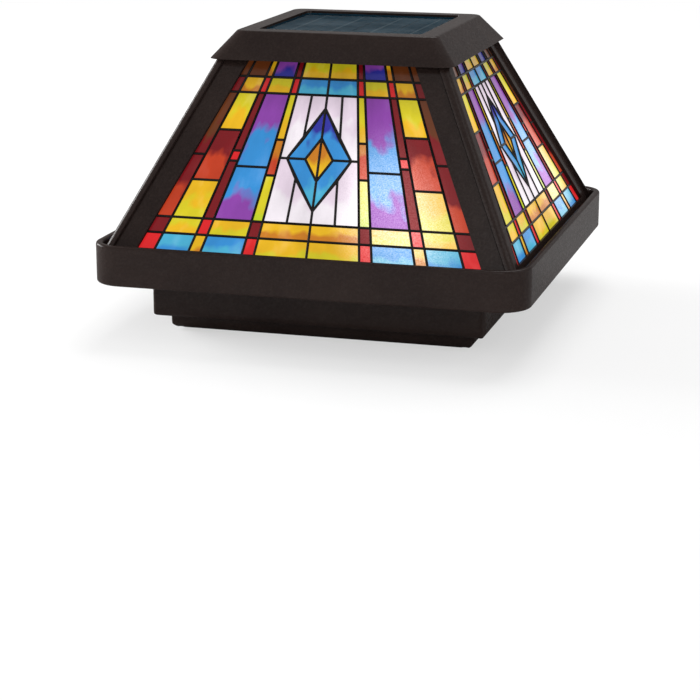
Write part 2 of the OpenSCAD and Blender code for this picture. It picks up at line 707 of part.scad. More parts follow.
module lens_section(r) {
    intersection() {
        translate([0, -tub_wall / 2]) circle(r);
        translate([0, -r - tub_wall]) square([r, r + tub_wall / 2]);
    }
    translate([0, -tub_wall / 2 - 0.01]) square([r, tub_wall / 2 + 1.01]);
}

module led_lens() color("#f6f3ea", 0.7) translate([0, lens_y, tub_floor_z]) rotate_extrude() difference() {
    union() {
        lens_section(lens_r);
        square([lens_r + lens_flange, 1]);
    }
    union() {
        lens_section(lens_r - lens_wall);
        square([lens_r - lens_wall, 2]);
    }
}

module switch_body() color("#222222") difference() {
    translate([switch_x - switch_l / 2, switch_y - switch_w / 2, tub_floor_z])
        cube([switch_l, switch_w, board_z - tub_floor_z]);
    translate([switch_x, switch_y, tub_floor_z]) cube([stem_w + 2 + switch_travel + 2 * moving_gap,
        stem_w + 1.2 + 2 * moving_gap, 2 * 2.4], center = true);
}

module switch_slider() color("#e8e6e0") translate([switch_x - switch_travel / 2, switch_y, 0]) {
    translate([-stem_w / 2, -stem_w / 2, tub_z - 1.6]) cube([stem_w, stem_w, tub_wall + 2.6]);
    translate([-stem_w / 2 - 1, -stem_w / 2 - 0.6, tub_floor_z + moving_gap])
        cube([stem_w + 2, stem_w + 1.2, 1.4]);
    for (i = [-1, 0, 1]) translate([i * 1.6 - 0.5, -2.4, tub_z - moving_gap - 2.2]) cube([1, 4.8, 0.8]);
    translate([-2.4, -2.4, tub_z - moving_gap - 1.5]) cube([4.8, 4.8, 1.5]);
}

post_collar();
base_tray();
collar_screws();
floor_reflector();
corner_cage();
cage_screws();
for (side = [0:3]) {
    panel_frame(side);
    stained_panel(side);
    diffuser(side);
}
cap_housing();
solar_cell();
solar_cover();
solar_leads();
cap_gasket();
cap_tub();
cap_screws();
circuit_board();
board_screws();
led_pair();
led_lens();
battery();
spring_contact();
plate_contact();
switch_body();
switch_slider();
battery_door();
door_pin();
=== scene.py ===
import bpy
import bmesh
import json
import math
from mathutils import Matrix, Vector


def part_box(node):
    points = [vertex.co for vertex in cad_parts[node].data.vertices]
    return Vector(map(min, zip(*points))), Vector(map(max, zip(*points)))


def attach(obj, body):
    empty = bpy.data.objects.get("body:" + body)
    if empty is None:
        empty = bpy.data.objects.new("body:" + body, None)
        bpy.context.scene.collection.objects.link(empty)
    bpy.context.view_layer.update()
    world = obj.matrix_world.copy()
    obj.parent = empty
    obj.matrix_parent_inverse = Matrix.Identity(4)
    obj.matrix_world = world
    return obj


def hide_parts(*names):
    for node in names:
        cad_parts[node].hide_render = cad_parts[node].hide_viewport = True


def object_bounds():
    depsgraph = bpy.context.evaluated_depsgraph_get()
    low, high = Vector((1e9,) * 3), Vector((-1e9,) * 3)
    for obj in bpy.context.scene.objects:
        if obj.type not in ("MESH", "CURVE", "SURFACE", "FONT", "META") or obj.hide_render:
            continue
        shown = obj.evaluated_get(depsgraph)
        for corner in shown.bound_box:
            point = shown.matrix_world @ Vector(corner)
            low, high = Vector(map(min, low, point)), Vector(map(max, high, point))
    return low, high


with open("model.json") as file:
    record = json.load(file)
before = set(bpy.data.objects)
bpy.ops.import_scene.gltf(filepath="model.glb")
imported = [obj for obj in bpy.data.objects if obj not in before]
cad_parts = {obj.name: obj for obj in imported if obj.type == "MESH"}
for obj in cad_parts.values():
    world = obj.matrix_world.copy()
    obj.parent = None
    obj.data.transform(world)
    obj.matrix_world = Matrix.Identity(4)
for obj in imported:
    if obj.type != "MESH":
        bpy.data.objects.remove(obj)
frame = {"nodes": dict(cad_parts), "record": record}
cadLow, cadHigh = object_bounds()
nodes = frame["nodes"]
slotOf = {part["node"]: part["material_slot"] for part in frame["record"]["subparts"]}
bodyOf = {node: body for body, held in frame["record"]["behaviour"]["bodies"].items() for node in held}
sides = ["front", "right", "back", "left"]      # each a quarter turn on from the one before
mm = 0.001


def shown(name, data):
    made = bpy.data.objects.new(name, data)
    bpy.context.scene.collection.objects.link(made)
    return made


def faceTowards(item, direction):
    item.rotation_euler = direction.to_track_quat("-Z", "Y").to_euler()


# the camera stands where the photo was taken: lens and sensor in mm, the rest in metres and degrees
cameraSet = {"lens": 108.8, "sensor": 36, "distance": 0.814, "turn": 15.95, "rise": 15.47,
             "target": (-0.0046, 0, -0.01925), "nearest": 0.01}

cameraData = bpy.data.cameras.new("photoCamera")
cameraData.lens = cameraSet["lens"]
cameraData.sensor_width = cameraSet["sensor"]
cameraData.clip_start = cameraSet["nearest"]
camera = shown("photoCamera", cameraData)
turn, rise = math.radians(cameraSet["turn"]), math.radians(cameraSet["rise"])
towards = Vector((math.sin(turn) * math.cos(rise), -math.cos(turn) * math.cos(rise), math.sin(rise)))
camera.location = Vector(cameraSet["target"]) + towards * cameraSet["distance"]
faceTowards(camera, -towards)
bpy.context.scene.camera = camera
bpy.context.scene.view_settings.view_transform = "Standard"

lampAim = Vector((0, 0, 0.05))
lampSet = {
    "windowLeft": {"place": (-1.10, 0.24, 0.30), "watts": 19.0, "size": (0.8, 0.45)},
    "skyRight": {"place": (1.05, -0.10, 0.70), "watts": 2.6, "size": (0.8, 0.8)},
    "softFront": {"place": (0.20, -1.25, 0.8), "watts": 5.0, "size": (0.9, 0.9)},
    "above": {"place": (0.05, 0.85, 1.30), "watts": 12.0, "size": (0.9, 0.9)},
}
for name, lamp in lampSet.items():
    data = bpy.data.lights.new(name, "AREA")
    data.energy = lamp["watts"]
    data.shape = "RECTANGLE"
    data.size, data.size_y = lamp["size"]
    made = shown(name, data)
    made.location = lamp["place"]
    faceTowards(made, lampAim - made.location)
print("camera and", len(lampSet), "lamps placed")


# sockets that take part in sums, and the node trees that hold them

class Flow:
    def __init__(self, graph, socket):
        self.graph, self.socket = graph, socket

    def sum(self, operation, first, second):
        return self.graph.node("ShaderNodeMath", {"operation": operation}, {0: first, 1: second})

    def __add__(self, other): return self.sum("ADD", self, other)
    def __radd__(self, other): return self.sum("ADD", other, self)
    def __sub__(self, other): return self.sum("SUBTRACT", self, other)
    def __rsub__(self, other): return self.sum("SUBTRACT", other, self)
    def __mul__(self, other): return self.sum("MULTIPLY", self, other)
    def __rmul__(self, other): return self.sum("MULTIPLY", other, self)
    def __truediv__(self, other): return self.sum("DIVIDE", self, other)
    def __gt__(self, other): return self.sum("GREATER_THAN", self, other)
    def __lt__(self, other): return self.sum("LESS_THAN", self, other)
    def __neg__(self): return self.sum("MULTIPLY", self, -1.0)
    def __abs__(self): return self.sum("ABSOLUTE", self, 0.0)


class Graph:
    def __init__(self, tree):
        self.tree = tree
        self.tree.nodes.clear()

    def node(self, kind, settings, inputs, output=0):
        made = self.tree.nodes.new(kind)
        for key, value in settings.items():
            setattr(made, key, value)
        for key, value in inputs.items():
            for term in value if isinstance(value, list) else [value]:      # a list joins into one socket
                if isinstance(term, Flow):
                    self.tree.links.new(term.socket, made.inputs[key])
                else:
                    made.inputs[key].default_value = term
        return Flow(self, made.outputs[output]) if len(made.outputs) else None


class Finish(Graph):
    # a material whose colours and values vary over the piece
    def __init__(self, name):
        self.material = bpy.data.materials.new(name)
        self.material.use_nodes = True
        super().__init__(self.material.node_tree)

    def place(self):
        return self.node("ShaderNodeTexCoord", {}, {}, "Object")

    def axes(self, vector):
        return [self.node("ShaderNodeSeparateXYZ", {}, {0: vector}, i) for i in range(3)]

    def stretch(self, vector, scale):
        return self.node("ShaderNodeMapping", {}, {"Vector": vector, "Scale": scale})

    def noise(self, vector, scale, detail=3.0, roughness=0.55):
        return self.node("ShaderNodeTexNoise", {}, {"Vector": vector, "Scale": scale, "Detail": detail,
                                                    "Roughness": roughness})

    def cells(self, vector, scale, feature="F1"):
        return self.node("ShaderNodeTexVoronoi", {"feature": feature}, {"Vector": vector, "Scale": scale})

    def fraction(self, value):
        return self.node("ShaderNodeMath", {"operation": "FRACT"}, {0: value})

    def reach(self, value, low, high, toLow=0.0, toHigh=1.0):
        spans = {"From Min": low, "From Max": high, "To Min": toLow, "To Max": toHigh}
        return self.node("ShaderNodeMapRange", {"clamp": True}, {"Value": value, **spans})

    def even(self, noise, low=0.0, high=1.0):
        return self.reach(noise, 0.3, 0.7, low, high)       # a noise lies mostly between these two

    def blend(self, first, second, share):
        return self.node("ShaderNodeMix", {"data_type": "RGBA", "blend_type": "MIX", "clamp_factor": True},
                         {0: share, 6: first, 7: second}, 2)

    def bump(self, height, deep):
        return self.node("ShaderNodeBump", {}, {"Height": height, "Distance": deep, "Strength": 1.0})

    def surface(self, inputs):
        shader = self.node("ShaderNodeBsdfPrincipled", {}, inputs)
        self.node("ShaderNodeOutputMaterial", {}, {"Surface": shader})
        return self.material


def rgb(red, green, blue):
    # a colour as a screen shows it, 0 to 255, turned into light
    def straight(c):
        c /= 255
        return c / 12.92 if c <= 0.04045 else ((c + 0.055) / 1.055) ** 2.4
    return (straight(red), straight(green), straight(blue), 1.0)


black, fullWhite = (0, 0, 0, 1), (1, 1, 1, 1)


def mouldedBronze():
    # a dark moulding with a pebbled skin; the pebble tops are painted paler, a painted glint
    look = {"dark": rgb(38, 29, 27), "light": rgb(47, 37, 34), "paintedGlint": rgb(66, 54, 50), "paintedGlintMost": 0.16,
            "cloud": 38, "grain": 1250, "finer": 1.7, "deep": 0.00034, "rough": (0.5, 0.6),
            "sheen": (0.15, 0.24), "polish": 0.16}
    f = Finish("mouldedBronze")
    cloud = f.noise(f.place(), look["cloud"])
    fine = f.noise(f.place(), look["grain"] * look["finer"], 2)
    height = f.cells(f.place(), look["grain"], "SMOOTH_F1") * 0.7 + fine * 0.5
    colour = f.blend(look["dark"], look["light"], f.reach(cloud, 0.32, 0.7))
    # painted glint: the pebble tops are lightened in colour to stand in for small highlights
    colour = f.blend(colour, look["paintedGlint"], f.reach(height, 0.5, 0.9, 0.0, look["paintedGlintMost"]))
    return f.surface({"Base Color": colour, "Roughness": f.even(cloud, *look["rough"]) + fine * 0.1,
                      "Specular IOR Level": 0.0, "Coat Weight": f.reach(height, 0.35, 0.85, *look["sheen"]),
                      "Coat Roughness": look["polish"], "Normal": f.bump(height, look["deep"])})


def plainPlastic(name, dark, light, **changed):
    look = {"cloud": 120, "grain": 1800, "deep": 0.00003, "rough": (0.4, 0.55), "gloss": 0.5} | changed
    f = Finish(name)
    cloud = f.noise(f.place(), look["cloud"])
    grain = f.noise(f.place(), look["grain"], 2)
    return f.surface({"Base Color": f.blend(dark, light, f.even(cloud)),
                      "Roughness": f.even(cloud, *look["rough"]), "Specular IOR Level": look["gloss"],
                      "Normal": f.bump(grain, look["deep"])})


def frostedSheet():
    look = {"dark": rgb(232, 230, 222), "light": rgb(245, 243, 236), "cloud": 60, "grain": 2600,
            "rough": (0.5, 0.68), "through": 0.25, "throughDeep": 0.002, "deep": 0.00003}
    f = Finish("frostedSheet")
    grain = f.noise(f.place(), look["grain"])
    colour = f.blend(look["dark"], look["light"], f.even(f.noise(f.place(), look["cloud"])))
    return f.surface({"Base Color": colour, "Roughness": f.even(grain, *look["rough"]),
                      "Subsurface Weight": look["through"], "Subsurface Scale": look["throughDeep"],
                      "Normal": f.bump(grain, look["deep"])})


def platedSteel():
    # zinc-plated wire and screws: fine drawing marks along z and a few yellowish spots
    look = {"dark": rgb(172, 175, 180), "light": rgb(205, 207, 210), "spot": rgb(186, 180, 158),
            "marks": (900, 900, 5200), "spots": 260, "spotMost": 0.4, "rough": (0.24, 0.4), "deep": 0.00001}
    f = Finish("platedSteel")
    drawn = f.noise(f.stretch(f.place(), look["marks"]), 1.0)
    colour = f.blend(look["dark"], look["light"], f.even(drawn))
    spots = f.noise(f.place(), look["spots"])
    colour = f.blend(colour, look["spot"], f.reach(spots, 0.55, 0.75, 0.0, look["spotMost"]))
    return f.surface({"Base Color": colour, "Metallic": 1.0, "Roughness": f.even(drawn, *look["rough"]),
                      "Normal": f.bump(drawn, look["deep"])})


def solarSilicon():
    # four strips, each with a bright bar in its middle and fine fingers across
    look = {"dark": rgb(6, 42, 56), "light": rgb(14, 62, 80), "finger": rgb(58, 96, 106),
            "bar": rgb(132, 150, 154), "gap": rgb(6, 18, 22), "strips": 4, "wide": 0.060, "fingers": 44,
            "fingerWide": 0.07, "barWide": 0.02, "gapWide": 0.016, "grain": 420, "rough": (0.3, 0.42),
            "sheen": (0.05, 0.12)}
    f = Finish("solarSilicon")
    x, y, z = f.axes(f.place())

    def lines(value, count, wide):
        return abs(f.fraction(value * (count / look["wide"]) + 0.5) - 0.5) < wide

    grain = f.cells(f.place(), look["grain"])
    colour = f.blend(look["dark"], look["light"], f.reach(grain, 0.1, 0.8))
    colour = f.blend(colour, look["finger"], lines(y, look["fingers"], look["fingerWide"]) * 0.4)
    middle = x + look["wide"] / look["strips"] / 2
    colour = f.blend(colour, look["bar"], lines(middle, look["strips"], look["barWide"]) * 0.5)
    colour = f.blend(colour, look["gap"], lines(x, look["strips"], look["gapWide"]))
    return f.surface({"Base Color": colour, "Roughness": f.reach(grain, 0.1, 0.8, *look["rough"]),
                      "Specular IOR Level": 0.0, "Coat Weight": f.reach(grain, 0.1, 0.8, *look["sheen"])})


def clearCover():
    look = {"dark": rgb(8, 40, 54), "light": rgb(20, 62, 80), "smear": 70, "grain": 900, "deep": 0.00001,
            "rough": (0.22, 0.36), "cloudy": 0.4, "sheen": (0.12, 0.3)}
    f = Finish("clearCover")
    smear = f.noise(f.place(), look["smear"], 4)
    colour = f.blend(look["dark"], look["light"], f.reach(smear, 0.35, 0.7))
    grain = f.noise(f.place(), look["grain"], 2)
    return f.surface({"Base Color": colour, "Roughness": f.even(smear, *look["rough"]),
                      "Alpha": look["cloudy"], "Specular IOR Level": 0.0,
                      "Coat Weight": f.even(smear, *look["sheen"]), "Normal": f.bump(grain, look["deep"])})


def circuitLaminate():
    look = {"dark": rgb(22, 82, 50), "light": rgb(30, 98, 60), "track": rgb(58, 130, 84), "tracks": 340.0,
            "trackWide": 0.16, "islands": 90, "weave": 1600, "rough": (0.3, 0.42), "deep": 0.00003}
    f = Finish("circuitLaminate")
    x, y, z = f.axes(f.place())
    tracks = abs(f.fraction(x * look["tracks"]) - 0.5) < look["trackWide"]
    tracks = tracks * (f.noise(f.place(), look["islands"]) > 0.52)
    weave = f.cells(f.place(), look["weave"])
    colour = f.blend(look["dark"], look["light"], f.reach(weave, 0.1, 0.8))
    colour = f.blend(colour, look["track"], tracks * 0.8)
    return f.surface({"Base Color": colour, "Roughness": f.reach(weave, 0.1, 0.8, *look["rough"]),
                      "Normal": f.bump(tracks, look["deep"])})


def batterySleeve():
    # a shrunk sleeve with a pale band, and the bare metal button at the +x end
    low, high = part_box("battery")
    look = {"dark": rgb(44, 118, 66), "light": rgb(60, 140, 82), "band": rgb(232, 230, 220),
            "metal": rgb(200, 202, 206), "bandLong": 0.009, "metalLong": 0.0016, "shrink": (500, 60, 60),
            "rough": (0.26, 0.4)}
    f = Finish("batterySleeve")
    x, y, z = f.axes(f.place())
    shrink = f.noise(f.stretch(f.place(), look["shrink"]), 1.0)
    colour = f.blend(look["dark"], look["light"], f.even(shrink))
    colour = f.blend(colour, look["band"], x > high.x - look["bandLong"])
    metal = x > high.x - look["metalLong"]
    colour = f.blend(colour, look["metal"], metal)
    return f.surface({"Base Color": colour, "Metallic": metal, "Roughness": f.even(shrink, *look["rough"])})


def wireSleeve():
    # one black lead and one red
    look = {"black": rgb(34, 32, 32), "red": rgb(168, 30, 32), "grain": 1500, "rough": (0.45, 0.6)}
    f = Finish("wireSleeve")
    x, y, z = f.axes(f.place())
    colour = f.blend(look["black"], look["red"], x < 0.0)
    return f.surface({"Base Color": colour,
                      "Roughness": f.even(f.noise(f.place(), look["grain"], 2), *look["rough"])})


def lampEpoxy():
    low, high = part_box("led_pair")
    look = {"low": rgb(250, 246, 226), "high": rgb(240, 208, 92), "cloud": 900, "rough": (0.08, 0.2),
            "glow": 0.6}
    f = Finish("lampEpoxy")
    x, y, z = f.axes(f.place())
    cloud = f.noise(f.place(), look["cloud"])
    colour = f.blend(look["low"], look["high"], f.reach(z, low.z, high.z))
    return f.surface({"Base Color": colour, "Roughness": f.even(cloud, *look["rough"]),
                      "Emission Color": colour, "Emission Strength": look["glow"]})


steel = platedSteel()
finishes = {
    "bronze_plastic": mouldedBronze(),
    "white_plastic": plainPlastic("mouldedWhite", rgb(228, 225, 216), rgb(240, 238, 231), cloud=45,
                                  grain=3200, deep=0.00002, rough=(0.42, 0.55)),
    "frosted_acrylic": frostedSheet(), "steel": steel, "solar_silicon": solarSilicon(),
    "clear_cover": clearCover(), "board_laminate": circuitLaminate(), "battery_sleeve": batterySleeve(),
    "wire_sleeve": wireSleeve(), "led_epoxy": lampEpoxy(),
    "gasket_foam": plainPlastic("gasketFoam", rgb(30, 30, 30), rgb(48, 48, 48), grain=900, rough=(0.8, 0.95)),
    "black_plastic": plainPlastic("blackPlastic", rgb(24, 24, 24), rgb(38, 38, 38)),
    "stained_acrylic": plainPlastic("stainedBack", rgb(200, 170, 90), rgb(216, 188, 110)),
}
for nodeName, slotName in slotOf.items():
    for slot in nodes[nodeName].material_slots:
        slot.link = "OBJECT"
        slot.material = finishes[slotName]
print("finishes made for", len(slotOf), "nodes")


# a pale floor, which keeps the shadow near the object and is plain white far off; near and far are squared
floorSet = {"half": 4.0, "below": 0.0002, "dark": (0.93, 0.93, 0.93, 1), "light": (0.96, 0.96, 0.96, 1),
            "mottle": 14, "near": 0.12, "far": 1.2, "white": (0.55, 1.0)}


def paleFloor():
    f = Finish("paleFloor")
    x, y, z = f.axes(f.place())
    mottled = f.blend(floorSet["dark"], floorSet["light"], f.noise(f.place(), floorSet["mottle"]))
    base = f.node("ShaderNodeBsdfDiffuse", {}, {"Color": mottled})
    glow = f.node("ShaderNodeEmission", {}, {"Color": fullWhite, "Strength": 1.0})
    share = f.reach(x * x + y * y, floorSet["near"], floorSet["far"], *floorSet["white"])
    seen = f.node("ShaderNodeLightPath", {}, {}, "Is Camera Ray")
    mixed = f.node("ShaderNodeMixShader", {}, {0: seen * share, 1: base, 2: glow})
    f.node("ShaderNodeOutputMaterial", {}, {"Surface": mixed})
    return f.material


corners = [(x * floorSet["half"], y * floorSet["half"], 0) for x, y in ((-1, -1), (1, -1), (1, 1), (-1, 1))]
floorMesh = bpy.data.meshes.new("studioFloor")
floorMesh.from_pydata(corners, [], [(0, 1, 2, 3)])
floorMesh.materials.append(paleFloor())
floor = shown("studioFloor", floorMesh)
floor.location.z = cadLow.z - floorSet["below"]

# the sky: how strongly it lights, how white it is seen, and how bright metal and glass show it
skySet = {"lights": 0.36, "seen": 1.0, "mirrored": 0.80}
world = bpy.context.scene.world or bpy.data.worlds.new("studio")
bpy.context.scene.world = world
world.use_nodes = True
sky = Graph(world.node_tree)
seen, glossy, through = [sky.node("ShaderNodeLightPath", {}, {}, f"Is {kind} Ray")
                         for kind in ("Camera", "Glossy", "Transmission")]
mirrored = sky.node("ShaderNodeMath", {"operation": "MAXIMUM"}, {0: glossy, 1: through})
level = (seen * (skySet["seen"] - skySet["lights"])
         + (mirrored * (skySet["mirrored"] - skySet["lights"]) + skySet["lights"]))
backdrop = sky.node("ShaderNodeBackground", {}, {"Color": fullWhite, "Strength": level})
sky.node("ShaderNodeOutputWorld", {}, {"Surface": backdrop})
print("floor and sky made")


def link(name, mesh, body, slot, *replaced):
    piece = shown(name, mesh)
    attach(piece, body)
    if replaced:
        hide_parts(*replaced)


def evaluated(holder, name):
    # the plain mesh of an object with its modifiers worked out
    bpy.context.view_layer.update()
    mesh = bpy.data.meshes.new_from_object(holder.evaluated_get(bpy.context.evaluated_depsgraph_get()))
    mesh.name = name
    holder.modifiers.clear()
    bpy.data.objects.remove(holder)
    return mesh


def mergedCopy(nodeName):
    # a node's loose triangles, joined where they meet
    copy = bmesh.new()
    copy.from_mesh(nodes[nodeName].data)
    bmesh.ops.remove_doubles(copy, verts=copy.verts, dist=0.002 * mm)
    return copy


# edges of the mouldings, eased as a mould leaves them: widths in mm, angles in degrees
easedSet = {"post_collar": 0.35, "base_tray": 0.25, "cap_housing": 0.3, "cap_tub": 0.2, "corner_cage": 0.15}
easedSet.update({f"panel_frame_{side}": 0.3 for side in sides})
easing = {"segments": 2, "sharperThan": 40, "flatWeight": 90, "shortest": 0.001}


def eased(nodeName, width):
    copy = mergedCopy(nodeName)
    bmesh.ops.dissolve_degenerate(copy, edges=copy.edges, dist=easing["shortest"] * mm)
    mesh = bpy.data.meshes.new(nodeName + "Merged")
    copy.to_mesh(mesh)
    copy.free()
    mesh.shade_smooth()
    mesh.materials.append(finishes[slotOf[nodeName]])
    holder = shown(nodeName + "Merged", mesh)
    ease = holder.modifiers.new("ease", "BEVEL")
    ease.width = width * mm
    ease.segments = easing["segments"]
    ease.limit_method = "ANGLE"
    ease.angle_limit = math.radians(easing["sharperThan"])
    ease.use_clamp_overlap = True
    holder.modifiers.new("flatten", "WEIGHTED_NORMAL").weight = easing["flatWeight"]
    result = evaluated(holder, nodeName + "Eased")
    link(nodeName + "Eased", result, bodyOf[nodeName], slotOf[nodeName], nodeName)


for nodeName, width in easedSet.items():
    eased(nodeName, width)
print("eased", len(easedSet), "mouldings")


class Maker(Graph):
    # a Geometry Nodes tree with named sizes
    def __init__(self, name, sizes):
        super().__init__(bpy.data.node_groups.new(name, "GeometryNodeTree"))
        self.socket("Geometry", "INPUT", "NodeSocketGeometry")
        for size in sizes:
            self.socket(size, "INPUT", "NodeSocketFloat")
        self.socket("Geometry", "OUTPUT", "NodeSocketGeometry")

    def socket(self, name, way, kind):
        self.tree.interface.new_socket(name, in_out=way, socket_type=kind)

    def given(self, name):
        return self.node("NodeGroupInput", {}, {}, name)

    def finish(self, geometry, material):
        real = self.node("GeometryNodeRealizeInstances", {}, {"Geometry": geometry})
        painted = self.node("GeometryNodeSetMaterial", {}, {"Geometry": real, "Material": material})
        self.node("NodeGroupOutput", {}, {"Geometry": painted})

    def make(self, name, points, edges, sizes):
        # the plain mesh that the tree makes on these points and edges, with its sizes in metres
        mesh = bpy.data.meshes.new(name + "Places")
        mesh.from_pydata(points, edges, [])
        holder = shown(name + "Places", mesh)
        layer = holder.modifiers.new("maker", "NODES")
        layer.node_group = self.tree
        for item in self.tree.interface.items_tree:
            if item.in_out == "INPUT" and item.name in sizes:
                layer[item.identifier] = sizes[item.name]
        return evaluated(holder, name)


# the stained panels

def faceFrame():
    # the front sheet's outer surface, from its own corners
    points = sorted({tuple(round(c, 6) for c in v.co) for v in nodes["stained_panel_front"].data.vertices})
    points = [Vector(p) for p in points]
    low = sorted(points, key=lambda p: p.y)[:2]
    high = sorted(sorted(points, key=lambda p: -p.z)[:4], key=lambda p: p.y)[:2]
    bottom = sum(low, Vector()) / 2
    top = sum(high, Vector()) / 2
    up = (top - bottom).normalized()
    out = Vector((1, 0, 0)).cross(up)
    return {"origin": bottom, "up": up, "out": out, "length": (top - bottom).length,
            "lowHalf": abs(low[0].x), "highHalf": abs(high[0].x)}


face = faceFrame()


def onSheet(s, t, lift=0.0):
    # a place on the front sheet: s from -1 to 1 across, t from 0 to 1 up, lift out of its surface
    half = face["lowHalf"] + (face["highHalf"] - face["lowHalf"]) * t
    return face["origin"] + Vector((s * half, 0, 0)) + face["up"] * (t * face["length"]) + face["out"] * lift


hues = {
    "wine": rgb(122, 16, 24), "red": rgb(222, 34, 38), "flame": rgb(196, 62, 30), "amber": rgb(206, 126, 30),
    "gold": rgb(238, 186, 28), "lemon": rgb(218, 204, 34), "lime": rgb(196, 212, 38),
    "sky": rgb(54, 144, 214), "violet": rgb(142, 68, 170), "aqua": rgb(76, 178, 214),
    "pearl": rgb(244, 236, 243), "rose": rgb(234, 216, 232), "umber": rgb(104, 52, 22),
    "navy": rgb(48, 50, 158),
}
panelSet = {
    "columns": [0.0, 0.30, 0.37, 0.61, 0.68, 0.88, 1.0],    # shares of the half width, from the middle
    "rows": [       # from, to, and the hues outwards from the middle
        (0.0, 0.11, ["lemon", "red", "aqua", "amber", "sky", "red"]),
        (0.11, 0.19, ["amber", "wine", "lemon", "red", "gold", "wine"]),
        (0.82, 0.90, ["aqua", "red", "gold", "red", "amber", "wine"]),
        (0.90, 1.0, ["gold", "wine", "navy", "amber", "umber", "umber"]),
    ],
    "runs": {"lemon": "gold", "aqua": "sky", "amber": "gold", "gold": "lemon", "navy": "violet",
             "sky": "aqua"},        # what a row's hue runs into
    "bars": [       # column, then each hue, its twin and where it starts
        (1, [("lime", "lemon", 0.0), ("flame", "amber", 0.36), ("gold", "lemon", 0.64)]),
        (2, [("violet", "sky", 0.0), ("sky", "violet", 0.42)]),
        (3, [("wine", "wine", 0.0), ("red", "red", 0.46), ("wine", "wine", 0.54)]),
        (4, [("lemon", "gold", 0.0), ("flame", "wine", 0.30), ("gold", "lemon", 0.70)]),
        (5, [("flame", "wine", 0.0), ("wine", "umber", 0.5)]),
    ],
    "diamond": (0.245, 0.25), "heart": (0.105, 0.105), "middle": 0.505,
    "sheetThick": 2, "paneLift": 0.12, "paneSunk": 0.3, "leadWide": 0.96, "leadSides": 8,       # mm
}


def panes():
    # every pane as its hue, its twin hue and its corners: the right half, then its mirror image
    c = panelSet["columns"]
    base, head = panelSet["rows"][1][1], panelSet["rows"][2][0]
    made = []

    def block(hue, twin, column, t0, t1):
        s0, s1 = c[column], c[column + 1]
        made.append((hue, twin, [(s0, t0), (s1, t0), (s1, t1), (s0, t1)]))

    for t0, t1, row in panelSet["rows"]:
        for column, hue in enumerate(row):
            block(hue, panelSet["runs"].get(hue, hue), column, t0, t1)
    span = head - base
    for column, pieces in panelSet["bars"]:
        ends = [start for hue, twin, start in pieces[1:]] + [1.0]
        for (hue, twin, start), end in zip(pieces, ends):
            block(hue, twin, column, base + start * span, base + end * span)
    # the middle field: a diamond in a diamond, and pale panes around it
    dw, dh = panelSet["diamond"]
    hw, hh = panelSet["heart"]
    m, edge = panelSet["middle"], c[1]
    slope = dh * (1 - edge / 2 / dw)
    made += [
        ("gold", "amber", [(0, m - hh), (hw, m), (0, m + hh)]),
        ("aqua", "sky", [(0, m - dh), (dw, m), (hw, m), (0, m - hh)]),
        ("sky", "navy", [(0, m + hh), (hw, m), (dw, m), (0, m + dh)]),
        ("pearl", "rose", [(0, base), (edge / 2, base), (edge / 2, m - slope), (0, m - dh)]),
        ("pearl", "rose", [(edge / 2, base), (edge, base), (edge, m), (dw, m), (edge / 2, m - slope)]),
        ("pearl", "rose", [(0, m + dh), (edge / 2, m + slope), (edge / 2, head), (0, head)]),
        ("pearl", "rose", [(edge / 2, m + slope), (dw, m), (edge, m), (edge, head), (edge / 2, head)]),
    ]
    return made + [(hue, twin, [(-s, t) for s, t in reversed(corners)]) for hue, twin, corners in made]


